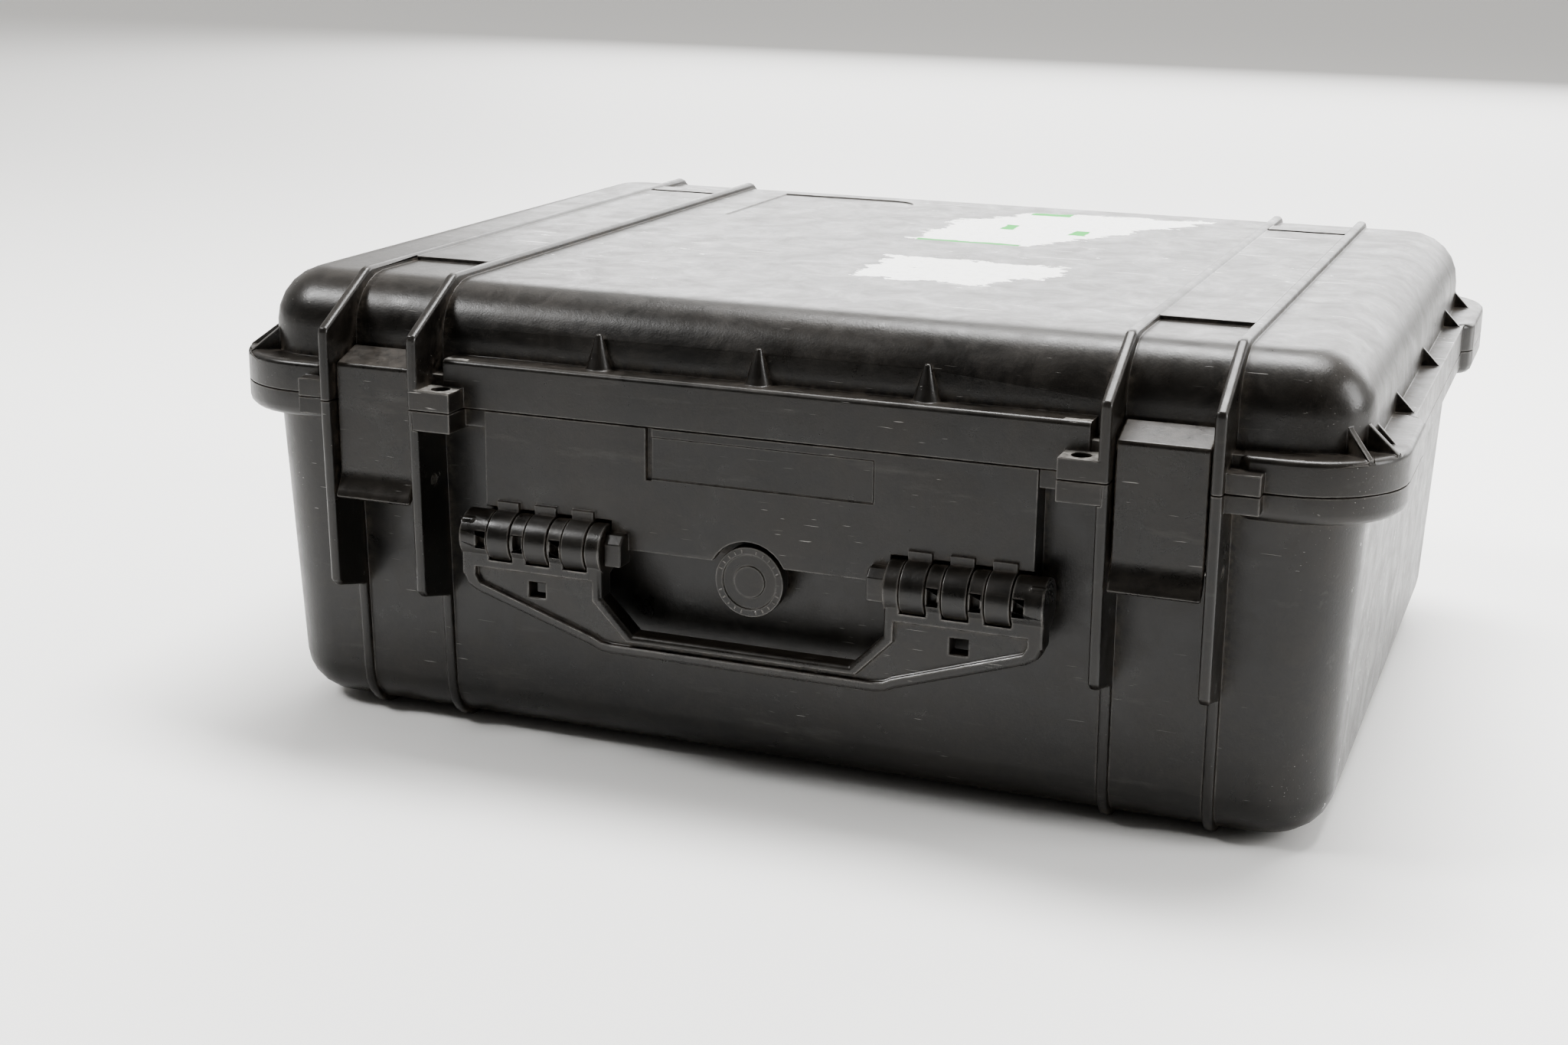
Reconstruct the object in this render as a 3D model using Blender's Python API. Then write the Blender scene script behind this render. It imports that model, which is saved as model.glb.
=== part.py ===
"""A moulded hard equipment case: two shells on a rear hinge, two toggle latches, a folding front handle,
a purge valve in the front wall and a set of foam inside.

Frame: +X to the right, the front faces -Y, +Z up, origin under the middle of the case on its rest plane.
Sizes are in millimetres and are scaled to metres where each mesh is made."""

import bpy
import bmesh
from math import cos, floor, pi, radians, sin, tan
from mathutils import Matrix, Vector

MM = 0.001

# Overall sizes
WIDTH = 525.0
DEPTH = 433.0
HEIGHT = 210.0
LID_HEIGHT = 54.0

# Shells
WALL = 4.5
DRAFT = radians(2.2)
LID_DRAFT = radians(1.0)
CORNER = 29.0
FLOOR_RADIUS = 20.0
LID_EDGE = 24.0
FRONT_REACH = 24.0
SIDE_REACH = 14.0
SHELL_GAP = 0.3
FIT = 0.4

# Flange round the parting line, with an ear on each corner
FLANGE_SIDE = 9.0
FLANGE_FRONT = 9.5
FLANGE_UP = 13.5
FLANGE_DOWN = 8.0
EAR_SETBACK = 11.5
EAR_RADIUS = 42.0
EAR_TOP_ROUND = 2.5
EAR_LOW_ROUND = 5.0
EAR_UP = 14.0
EAR_DOWN = 12.0
EAR_ALONG_SIDE = 95.0

# Ribs, which run in pairs either side of each latch and hinge
RIB = 4.8
RIB_PROUD = 3.0
RIB_ROUND = 1.7
LATCH_SIDE_GAP = 1.1
LATCH_INSET = 88.0
RIB_TAPER = 2.5
RIB_LENGTH = 86.0
KNEE_DROP = 22.0
RIB_SLOPE = 40.0
OUTER_LUG = 16.0
FIN_OFFSET = 4.0
FIN_END = 31.0
FIN_UP = 11.0

# Front panel with its apron on the lid
APRON_UP = 21.0
APRON_END_GAP = 8.5
APRON_ROUND = 2.2
GUSSET = 6.5
GUSSET_UP = 15.0
PANEL_SETBACK = 13.0
PANEL_END_GAP = 28.5
PANEL_DOWN = 55.0
PANEL_SKIN = 4.5
PLATE_WIDTH = 100.0
PLATE_OFFSET = 5.0
PLATE_DOWN = 22.0
PLATE_DEPTH = 0.45

# Padlock lugs
LUG_WIDTH = 17.0
LUG_UP = 9.0
PADLOCK_HOLE = 4.0

# Stacking pads on the lid
PAD_UP = 1.8
PAD_FRONT = 80.5
PAD_REAR = 91.5
PAD_GROOVE = 4.5

# Blank badge recess in the lid
BADGE_X = -84.0
BADGE_Y = 112.0
BADGE_WIDTH = 80.0
BADGE_LENGTH = 92.0
BADGE_ROUND = 14.0
BADGE_DEPTH = 0.7

# Hinge
KNUCKLE = 6.5
HINGE_END_GAP = 0.8
HINGE_PIN = 2.0

# Latches
LATCH_WIDTH = 37.0
LATCH_SKIN = 3.2
LATCH_SETBACK = 5.5
LEDGE_SETBACK = 10.5
HOOD_DEPTH = 16.5
HOOD_SKIN = 3.0
HOOD_LAND_GAP = 0.5
LEDGE_UP = 0.5
HOOD_RISE = 4.5
LIP_DOWN = 43.0
LATCH_PIN = 2.2
LINK_PIN_DOWN = 34.0
LINK_LENGTH = 19.0
LATCH_CHEEK = 3.5
EYE = 4.7

# Handle
HANDLE_END_GAP = 21.2
HANDLE_DOWN = 55.0
DRUM = 11.5
DRUM_WIDTH = 10.5
HANDLE_KNUCKLE = 6.7
DRUM_INSET = 13.7
HANDLE_PIN = 2.4
INNER_KNUCKLE = 6.9
HANDLE_BACK = 2.5
HANDLE_DROP = 45.0
HANDLE_THICK = 11.0
HANDLE_RIM = 2.2
WEB_RECESS = 2.4
END_PLATE = 6.5
END_PLATE_UP = 9.0

# Purge valve
VALVE_DOWN = 63.0
KNOB = 15.5
KNOB_DEPTH = 6.0
KNOB_SKIN = 2.6
KNOB_GAP = 2.9
STEM = 6.5
O_RING = 1.6

# Seal and foam
SEAL = 5.0
SEAL_OUTSET = 1.5
FOAM_GAP = 1.2
FOAM_PAD = 18.0
FOAM_CELL = 12.7
FOAM_BORDER = 80.0
FOAM_BELOW_RIM = 4.0

# Worked out from the sizes above
FRONT = -DEPTH / 2
REAR = DEPTH / 2
PARTING = HEIGHT - LID_HEIGHT
BASE_TOP = PARTING - SHELL_GAP / 2
LID_LOW = PARTING + SHELL_GAP / 2
LID_TOP = HEIGHT - RIB_PROUD
BODY_X = WIDTH / 2 - SIDE_REACH
BODY_Y = DEPTH / 2 - FRONT_REACH
FLANGE_X = BODY_X + FLANGE_SIDE
FLANGE_Y = BODY_Y + FLANGE_FRONT
FLANGE_TOP = PARTING + FLANGE_UP
LATCH_X = WIDTH / 2 - LATCH_INSET
RIB_SPACING = LATCH_WIDTH + RIB + 2 * LATCH_SIDE_GAP
RIB_IN = LATCH_X - RIB_SPACING / 2
RIB_OUT = LATCH_X + RIB_SPACING / 2
APRON_X = RIB_IN - APRON_END_GAP
APRON_TOP = PARTING + APRON_UP
GUSSET_X = 0.51 * APRON_X
FIN_PITCH = (BODY_Y + 14) / 2
PANEL_Y = FRONT + PANEL_SETBACK
PANEL_X = RIB_IN - PANEL_END_GAP
PANEL_LOW = PARTING - PANEL_DOWN
HANDLE_X = RIB_IN - HANDLE_END_GAP
HANDLE_Y = FRONT + DRUM
HANDLE_Z = PARTING - HANDLE_DOWN
DRUM_PITCH = DRUM_WIDTH + HANDLE_KNUCKLE + 2 * FIT
ARM_WIDTH = DRUM_INSET + DRUM_WIDTH + 2 * DRUM_PITCH + FIT + INNER_KNUCKLE
HANDLE_IN = HANDLE_X - ARM_WIDTH
PIN_BOSS = HANDLE_IN / 8
VALVE_Z = PARTING - VALVE_DOWN
VALVE_BOSS = KNOB - 2.5
HINGE_Y = REAR - KNUCKLE
KNUCKLE_WIDTH = (RIB_SPACING - RIB - 2 * HINGE_END_GAP - 4 * FIT) / 5
LEDGE_TOP = FLANGE_TOP + LEDGE_UP
SEAL_OUT = BODY_Y + SEAL_OUTSET + SEAL / 2 + 1.5
HOOD_LAND = LEDGE_TOP + HOOD_LAND_GAP
HOOD_TOP = HOOD_LAND + HOOD_SKIN
LINK_WIDTH = LATCH_WIDTH - 2 * LATCH_CHEEK
LINK_Y = FRONT + 13.5
LINK_Z = PARTING - LINK_PIN_DOWN
LEVER_Y = LINK_Y + 1.0
LEVER_Z = LINK_Z + LINK_LENGTH
SIDES = (("left", -1), ("right", 1))


def wall_inset(height):
    """How far the drafted base wall has moved in at a height above the rest plane."""
    return (PARTING - height) * tan(DRAFT)


def collection(name, parent):
    made = bpy.data.collections.new(name)
    parent.children.link(made)
    return made


for old in list(bpy.data.objects):
    bpy.data.objects.remove(old)

scene = bpy.context.scene
case_parts = collection("equipment_case", scene.collection)
cutters = collection("case_cutters", scene.collection)


def plastic(name, colour, roughness, metallic=0.0):
    """One Principled material."""
    material = bpy.data.materials.new(name)
    material.use_nodes = True
    shader = material.node_tree.nodes["Principled BSDF"]
    shader.inputs["Base Color"].default_value = (*colour, 1.0)
    shader.inputs["Roughness"].default_value = roughness
    shader.inputs["Metallic"].default_value = metallic
    material.diffuse_color = (*colour, 1.0)
    return material


def from_bmesh(name, shape):
    """A mesh object, in no collection yet, from a shape in millimetres."""
    bmesh.ops.scale(shape, vec=(MM, MM, MM), verts=shape.verts)
    bmesh.ops.recalc_face_normals(shape, faces=shape.faces)
    mesh = bpy.data.meshes.new(name)
    shape.to_mesh(mesh)
    shape.free()
    return bpy.data.objects.new(name, mesh)


def box(name, low, high):
    """A box between two corners."""
    shape = bmesh.new()
    bmesh.ops.create_cube(shape, size=1.0)
    size = Vector(high) - Vector(low)
    middle = (Vector(high) + Vector(low)) / 2
    bmesh.ops.scale(shape, vec=size, verts=shape.verts)
    bmesh.ops.translate(shape, vec=middle, verts=shape.verts)
    return from_bmesh(name, shape)


def rounded_box(name, half_x, half_y, low, high, corner, low_inset=0.0, high_inset=0.0,
                low_round=0.0, high_round=0.0, steps=8, edge_steps=6):
    """A box with round upright corners, and walls that lean in by an inset at the bottom or the top."""
    shape = bmesh.new()
    bmesh.ops.create_cube(shape, size=2.0)
    for vertex in shape.verts:
        inset = high_inset if vertex.co.z > 0 else low_inset
        vertex.co = (vertex.co.x * (half_x - inset), vertex.co.y * (half_y - inset),
                     high if vertex.co.z > 0 else low)
    upright = [edge for edge in shape.edges if abs(edge.verts[0].co.z - edge.verts[1].co.z) > 0.1]
    bmesh.ops.bevel(shape, geom=upright, offset=corner, segments=steps, profile=0.5, affect="EDGES")
    for level, radius in ((low, low_round), (high, high_round)):
        if radius > 0:
            loop = [edge for edge in shape.edges
                    if all(abs(vertex.co.z - level) < 0.01 for vertex in edge.verts)]
            bmesh.ops.bevel(shape, geom=loop, offset=radius, segments=edge_steps, profile=0.5,
                            affect="EDGES", clamp_overlap=False)
    return from_bmesh(name, shape)


TURNS = {
    "x": Matrix(((0, 0, 1), (1, 0, 0), (0, 1, 0))),
    "y": Matrix(((1, 0, 0), (0, 0, -1), (0, 1, 0))),
    "z": Matrix.Identity(3),
}


def soften(shape, axis, levels, radius, square):
    """Rounds the sharp edges that lie at the given levels of an axis, but for those at the square height."""
    at = "xyz".index(axis)
    bmesh.ops.dissolve_limit(shape, angle_limit=radians(0.5), verts=shape.verts, edges=shape.edges)
    rims = []
    for edge in shape.edges:
        ends = [corner.co for corner in edge.verts]
        on_rim = any(all(abs(end[at] - level) < 0.01 for end in ends) for level in levels)
        kept = square is not None and all(abs(end.z - square) < 0.01 for end in ends)
        if on_rim and not kept and edge.calc_face_angle(0) > radians(20):
            rims.append(edge)
    bmesh.ops.bevel(shape, geom=rims, offset=radius, segments=3, profile=0.5, affect="EDGES",
                    clamp_overlap=True)


def plate(name, outline, low, high, along, rim=0.0, rims=None, square=None):
    """A closed flat outline thickened between two places along an axis, with its rims rounded if asked. The
    outline is in (y, z) along x, in (x, z) along y and in (x, y) along z."""
    curve = bpy.data.curves.new(name, "CURVE")
    curve.dimensions = "2D"
    curve.fill_mode = "BOTH"
    curve.extrude = (high - low) / 2
    spline = curve.splines.new("POLY")
    spline.points.add(len(outline) - 1)
    for point, (across, up) in zip(spline.points, outline):
        point.co = (across, up, 0.0, 1.0)
    spline.use_cyclic_u = True
    guide = bpy.data.objects.new(name, curve)
    scene.collection.objects.link(guide)
    bpy.context.view_layer.update()
    flat = bpy.data.meshes.new_from_object(guide.evaluated_get(bpy.context.evaluated_depsgraph_get()))
    bpy.data.objects.remove(guide)
    bpy.data.curves.remove(curve)
    shape = bmesh.new()
    shape.from_mesh(flat)
    bpy.data.meshes.remove(flat)
    bmesh.ops.remove_doubles(shape, verts=shape.verts, dist=0.001)
    middle = (low + high) / 2
    bmesh.ops.transform(shape, matrix=TURNS[along].to_4x4(), verts=shape.verts)
    shift = {"x": (middle, 0, 0), "y": (0, middle, 0), "z": (0, 0, middle)}[along]
    bmesh.ops.translate(shape, vec=shift, verts=shape.verts)
    if rim:
        soften(shape, along, rims or (low, high), rim, square)
    return from_bmesh(name, shape)


def rod(name, axis, across, low, high, radius, far_radius=None, sides=24):
    """A round bar along an axis. across gives its centre in the two other axes, in x, y, z order."""
    shape = bmesh.new()
    bmesh.ops.create_cone(shape, cap_ends=True, segments=sides, radius1=radius,
                          radius2=radius if far_radius is None else far_radius, depth=high - low)
    turn = {"x": Matrix.Rotation(pi / 2, 4, "Y"), "y": Matrix.Rotation(-pi / 2, 4, "X"),
            "z": Matrix.Identity(4)}[axis]
    bmesh.ops.rotate(shape, matrix=Matrix.Rotation(pi / sides, 3, "Z"), verts=shape.verts)
    bmesh.ops.transform(shape, matrix=turn, verts=shape.verts)
    middle = (low + high) / 2
    place = {"x": (middle, *across), "y": (across[0], middle, across[1]), "z": (*across, middle)}[axis]
    bmesh.ops.translate(shape, vec=place, verts=shape.verts)
    return from_bmesh(name, shape)


def arc(centre, radius, start, end, steps):
    """Points on an arc, angles in degrees, both ends included."""
    return [(centre[0] + radius * cos(radians(start + (end - start) * i / steps)),
             centre[1] + radius * sin(radians(start + (end - start) * i / steps)))
            for i in range(steps + 1)]


finished = []


def finish_node(body, material, stages=(), axis=None):
    """Gives a body its material. Each stage is an operation and the tools that it joins or cuts with, and a
    moving body's origin goes to a point on its axis. The bodies join the scene at the end, all at once."""
    finished.append(body)
    body.data.materials.append(material)
    for number, (operation, tools) in enumerate(stages):
        group = collection(f"{body.name}_{operation.lower()}_{number}", cutters)
        for tool in tools:
            tool.hide_render = True
            tool.display_type = "WIRE"
            group.objects.link(tool)
        step = body.modifiers.new(f"{operation.title()} {number}", "BOOLEAN")
        step.operation = operation
        step.solver = "EXACT"
        step.operand_type = "COLLECTION"
        step.collection = group
    if axis is not None:
        shift = Vector(axis) * MM
        body.data.transform(Matrix.Translation(-shift))
        body.location = shift
    body.data.shade_smooth()
    body.data.set_sharp_from_angle(angle=radians(30))


shell_black = plastic("shell_black", (0.022, 0.021, 0.020), 0.46)
latch_black = plastic("latch_black", (0.018, 0.018, 0.017), 0.38)
handle_black = plastic("handle_black", (0.016, 0.016, 0.015), 0.40)
knob_black = plastic("knob_black", (0.014, 0.014, 0.014), 0.42)
pin_steel = plastic("pin_steel", (0.55, 0.55, 0.54), 0.30, 1.0)
seal_rubber = plastic("seal_rubber", (0.010, 0.010, 0.010), 0.75)
foam_grey = plastic("foam_grey", (0.045, 0.045, 0.048), 0.95)


def ear_outline(side, end):
    """The plan of one corner ear: side is -1 or 1 in x, end is -1 or 1 in y."""
    outer_x = WIDTH / 2
    outer_y = DEPTH / 2 - EAR_SETBACK if end < 0 else HINGE_Y - FIT
    along = outer_y - EAR_ALONG_SIDE
    inner_x = RIB_OUT + RIB
    corner = arc((outer_x - EAR_RADIUS, outer_y - EAR_RADIUS), EAR_RADIUS, 0, 90, 9)
    points = [(outer_x - 8, along - 6), (outer_x - 2, along), (outer_x, along + 5), *corner,
              (inner_x + 5, outer_y), (inner_x, outer_y - 4), (inner_x, BODY_Y - WALL),
              (BODY_X - WALL, BODY_Y - CORNER), (BODY_X - WALL, along - 6)]
    return [(side * x, end * y) for x, y in points]


def fins():
    """Small upright webs from the lid wall down onto its flange, along each side and on the front ears."""
    made = []
    places = [FIN_OFFSET + step * FIN_PITCH for step in (-1, 0, 1)] + [FIN_END - BODY_Y, BODY_Y - FIN_END]
    for name, side in SIDES:
        for number, place in enumerate(places):
            inner, outer = side * (BODY_X - 3), side * (FLANGE_X - 1.5)
            outline = [(inner, FLANGE_TOP - 1), (outer, FLANGE_TOP - 1), (outer, FLANGE_TOP + 0.3),
                       (inner, FLANGE_TOP + FIN_UP)]
            made.append(plate(f"side_fin_{name}_{number}", outline, place - 1.2, place + 1.2, "y"))
        centre = Vector((side * (BODY_X - CORNER), -(BODY_Y - CORNER), 0.0))
        for number, angle in enumerate((20.0, 43.0)):
            outline = [(CORNER - 4, FLANGE_TOP - 1), (CORNER + 13, FLANGE_TOP - 1),
                       (CORNER + 13, FLANGE_TOP + 0.3), (CORNER - 4, FLANGE_TOP + FIN_UP + 2)]
            fin = plate(f"ear_fin_{name}_{number}", outline, -1.3, 1.3, "y")
            turn = -angle if side > 0 else 180 + angle
            fin.data.transform(Matrix.Translation(centre * MM) @ Matrix.Rotation(radians(turn), 4, "Z"))
            made.append(fin)
    return made


def rib_lines():
    """The middle of each rib in x."""
    return [side * place for _, side in SIDES for place in (RIB_IN, RIB_OUT)]


def lid_rib(name, x):
    """A rib over the lid: an upright fin at the front and the back, joined by a low bead across the top."""
    knee = HEIGHT - KNEE_DROP
    deep = FRONT
    back = HINGE_Y - KNUCKLE + 1.5
    outline = [(deep, LID_LOW), (deep, knee - 2), (deep + 1, knee + 0.6),
               (deep + RIB_SLOPE - 3, HEIGHT - 0.8), (deep + RIB_SLOPE, HEIGHT),
               (back - RIB_SLOPE + 6, HEIGHT), (back - RIB_SLOPE + 9, HEIGHT - 0.8),
               (back - 1, knee + 0.6), (back, knee - 2), (back, LID_LOW)]
    return plate(name, outline, x - RIB / 2, x + RIB / 2, "x", rim=RIB_ROUND, square=LID_LOW)


def lid_shell():
    """The lid, open below."""
    body = rounded_box("lid_shell", BODY_X, BODY_Y, LID_LOW, LID_TOP, CORNER,
                       high_inset=(LID_TOP - PARTING) * tan(LID_DRAFT), high_round=LID_EDGE)
    bend = arc((PANEL_Y + APRON_ROUND, APRON_TOP - APRON_ROUND), APRON_ROUND, 180, 90, 4)
    apron = [(PANEL_Y, LID_LOW), *bend, (-BODY_Y + 3, APRON_TOP), (-BODY_Y + 3, LID_LOW)]
    added = [rounded_box("lid_flange", FLANGE_X, FLANGE_Y, LID_LOW, FLANGE_TOP, CORNER + 10),
             plate("lid_apron", apron, -APRON_X, APRON_X, "x")]
    for name, side in SIDES:
        for end_name, end in (("front", -1), ("rear", 1)):
            ear_top = PARTING + EAR_UP
            added.append(plate(f"lid_ear_{end_name}_{name}", ear_outline(side, end), LID_LOW, ear_top, "z",
                               rim=EAR_TOP_ROUND, rims=(ear_top,)))
        low_x, high_x = sorted((side * RIB_IN, side * RIB_OUT))
        added.append(box(f"latch_ledge_{name}", (low_x, FRONT + LEDGE_SETBACK, LID_LOW),
                         (high_x, -BODY_Y + 3, LEDGE_TOP)))
        pad_rear = REAR - PAD_REAR
        added.append(box(f"stack_pad_{name}", (low_x, FRONT + PAD_FRONT, LID_TOP - 1),
                         (high_x, pad_rear, LID_TOP + PAD_UP)))
        added.append(box(f"stack_pad_rear_{name}", (low_x, pad_rear + PAD_GROOVE, LID_TOP - 1),
                         (high_x, pad_rear + PAD_GROOVE + 14, LID_TOP + PAD_UP)))
        low_x, high_x = sorted((side * (RIB_IN - RIB / 2 - LUG_WIDTH + 1), side * RIB_IN))
        added.append(box(f"padlock_lug_{name}", (low_x, FRONT, LID_LOW),
                         (high_x, PANEL_Y + 6, PARTING + LUG_UP)))
        low_x, high_x = sorted((side * RIB_OUT, side * (RIB_OUT + OUTER_LUG)))
        added.append(box(f"outer_lug_{name}", (low_x, FRONT + 4.5, LID_LOW),
                         (high_x, -BODY_Y + 3, PARTING + LUG_UP - 0.7)))
    for number, x in enumerate(rib_lines()):
        added.append(lid_rib(f"lid_rib_{number}", x))
    for number in (-1, 0, 1):
        added.append(rod(f"apron_gusset_{number + 1}", "z", (number * GUSSET_X, -BODY_Y - 0.5), APRON_TOP - 2,
                         APRON_TOP + GUSSET_UP, GUSSET, far_radius=1.2, sides=16))
    added += fins()

    cut = [rounded_box("lid_hollow", BODY_X - WALL, BODY_Y - WALL, LID_LOW - 5, LID_TOP - WALL, CORNER - WALL,
                       high_inset=(LID_TOP - PARTING) * tan(LID_DRAFT), high_round=LID_EDGE - WALL)]
    cut += [padlock_hole(name, side, "lid") for name, side in SIDES]
    left, right = BADGE_X - BADGE_WIDTH / 2, BADGE_X + BADGE_WIDTH / 2
    near, far = BADGE_Y - BADGE_LENGTH / 2, BADGE_Y + BADGE_LENGTH / 2
    badge = [(left, near), (right, near),
             *arc((right - BADGE_ROUND, far - BADGE_ROUND), BADGE_ROUND, 0, 90, 5), (left, far)]
    cut.append(plate("badge_recess", badge, LID_TOP - BADGE_DEPTH, LID_TOP + 3, "z"))

    knuckles = []
    bores = []
    for name, side in SIDES:
        for number in (-1, 1):
            middle = side * LATCH_X + number * (KNUCKLE_WIDTH + FIT)
            low, high = middle - KNUCKLE_WIDTH / 2, middle + KNUCKLE_WIDTH / 2
            knuckles.append(rod(f"lid_knuckle_{name}_{number}", "x", (HINGE_Y, PARTING), low, high, KNUCKLE,
                                sides=20))
            outline = [(SEAL_OUT, LID_LOW), (SEAL_OUT, FLANGE_TOP - 1), (FLANGE_Y, FLANGE_TOP - 1),
                       (HINGE_Y + KNUCKLE * 0.66, PARTING + KNUCKLE * 0.66), (HINGE_Y, LID_LOW)]
            knuckles.append(plate(f"lid_hinge_web_{name}_{number}", outline, low, high, "x"))
        bores.append(hinge_bore(name, side, "lid"))
    groove = seal_ring("lid_seal_groove", SEAL + 1.0, LID_LOW - 1, LID_LOW + SEAL)
    finish_node(body, shell_black, [("UNION", added), ("DIFFERENCE", cut + [groove]),
                                    ("UNION", knuckles), ("DIFFERENCE", bores)], axis=(0, HINGE_Y, PARTING))


def seal_ring(name, width, low, high):
    """A flat ring over the base rim, as the seal and its groove have it."""
    middle_x = BODY_X + SEAL_OUTSET
    middle_y = BODY_Y + SEAL_OUTSET
    ring = rounded_box(name, middle_x + width / 2, middle_y + width / 2, low, high,
                       CORNER + SEAL_OUTSET + width / 2)
    hole = rounded_box(name + "_hole", middle_x - width / 2, middle_y - width / 2, low - 1, high + 1,
                       CORNER + SEAL_OUTSET - width / 2)
    cutters.objects.link(hole)
    hole.hide_render = True
    hole.display_type = "WIRE"
    step = ring.modifiers.new("Ring", "BOOLEAN")
    step.operation = "DIFFERENCE"
    step.solver = "EXACT"
    step.object = hole
    return ring


def padlock_hole(name, side, shell):
    x = side * (RIB_IN - RIB / 2 - LUG_WIDTH / 2 + 0.5)
    return rod(f"{shell}_padlock_hole_{name}", "z", (x, FRONT + 7.5), PARTING - LUG_UP - 5,
               PARTING + LUG_UP + 5, PADLOCK_HOLE)


def hinge_bore(name, side, shell):
    reach = 2.5 * KNUCKLE_WIDTH + 4 * FIT
    return rod(f"{shell}_hinge_bore_{name}", "x", (HINGE_Y, PARTING), side * LATCH_X - reach,
               side * LATCH_X + reach, HINGE_PIN + FIT, sides=16)


def base_rib(name, x, end):
    """A rib on the base: a deep fin below the parting line, then a low bead down to and under the floor."""
    reach = DEPTH / 2 if end < 0 else HINGE_Y - KNUCKLE + 1.5
    fin_low = BASE_TOP - RIB_LENGTH
    low_reach = reach - RIB_TAPER
    bead_high = BODY_Y - wall_inset(fin_low - 8) + RIB_PROUD
    bead_low = BODY_Y - wall_inset(0) + RIB_PROUD
    corner_radius = FLOOR_RADIUS + RIB_PROUD
    bend = [(y, z) for y, z in arc((bead_low - corner_radius, corner_radius), corner_radius, 0, -90, 6)]
    outline = [(0.0, BASE_TOP), (reach, BASE_TOP), (low_reach, fin_low + 3), (low_reach - 3, fin_low),
               (bead_high, fin_low - 5), *bend, (0.0, 0.0)]
    return plate(name, [(end * y, z) for y, z in outline], x - RIB / 2, x + RIB / 2, "x", rim=RIB_ROUND,
                 square=BASE_TOP)


def drum_places(side):
    """The middle of each fixed handle drum on one side."""
    return [side * (HANDLE_X - DRUM_INSET - DRUM_WIDTH / 2 - DRUM_PITCH * i) for i in range(3)]


def handle_knuckle_spans(side):
    """Where the handle's own knuckles lie, between and outside the drums."""
    drums = sorted(abs(x) for x in drum_places(side))
    half = DRUM_WIDTH / 2 + FIT
    spans = [(HANDLE_X - ARM_WIDTH, drums[0] - half), (drums[0] + half, drums[1] - half),
             (drums[1] + half, drums[2] - half), (drums[2] + half, HANDLE_X)]
    return [tuple(sorted((side * low, side * high))) for low, high in spans]


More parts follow.
